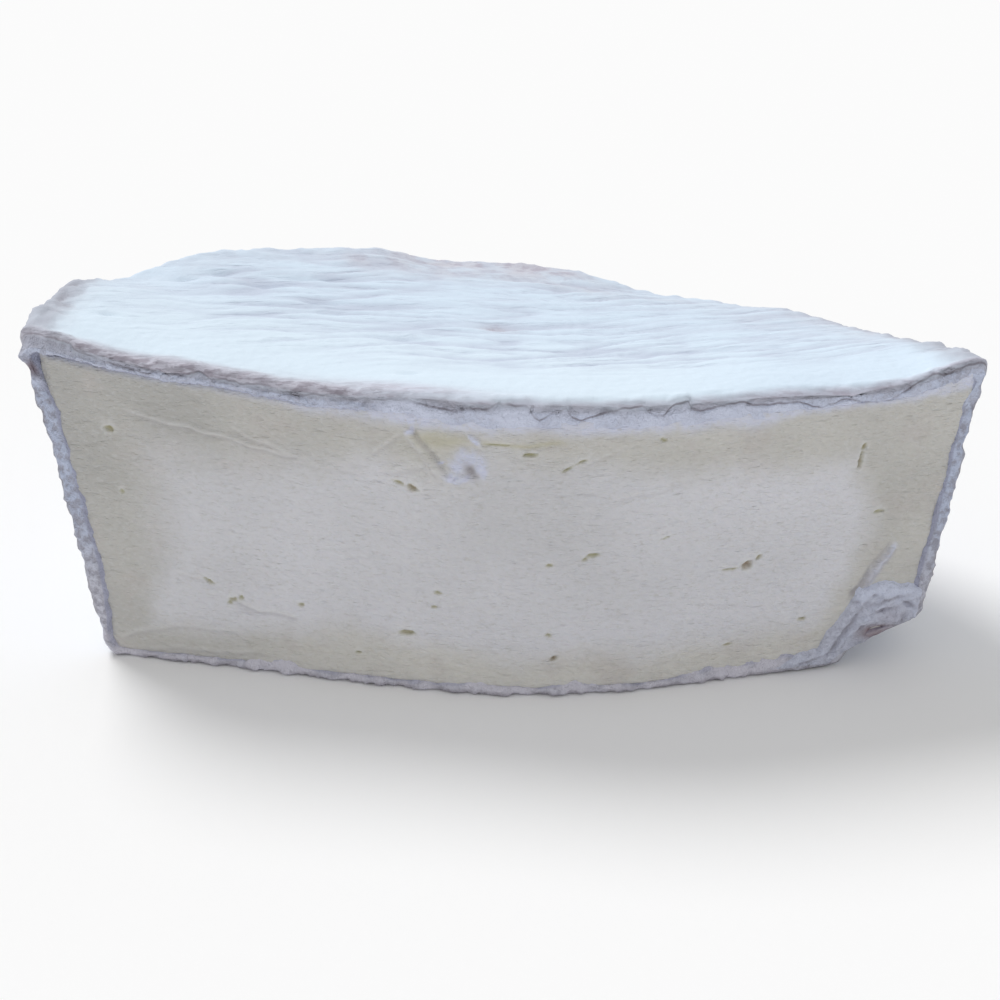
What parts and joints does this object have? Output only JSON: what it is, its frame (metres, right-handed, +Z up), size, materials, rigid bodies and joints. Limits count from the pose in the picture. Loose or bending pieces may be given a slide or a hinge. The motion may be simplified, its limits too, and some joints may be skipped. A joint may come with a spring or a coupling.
{
  "type": "half wheel of triple cream cheese",
  "caption": "Half of a soft-ripened cheese wheel with a white bloomy rind and flared wall, cut with two knife strokes to show a pale, slightly holed paste.",
  "frame": {"origin": "on the surface that the cheese rests on, under the middle of its bounding box", "axes": "+X to the right along the cut, +Y from the cut towards the rounded back of the wheel, +Z up"},
  "size_m": [0.1948, 0.1186, 0.0723],
  "materials": {
    "paste": "moist, fatty cream-coloured paste with a warmer creamline under the rind, slightly translucent",
    "rind": "matt white mould bloom, mauve-grey and brown where it is rubbed or torn"
  },
  "bodies": {
    "root": {"cheese_half": "paste"}
  },
  "joints": []
}
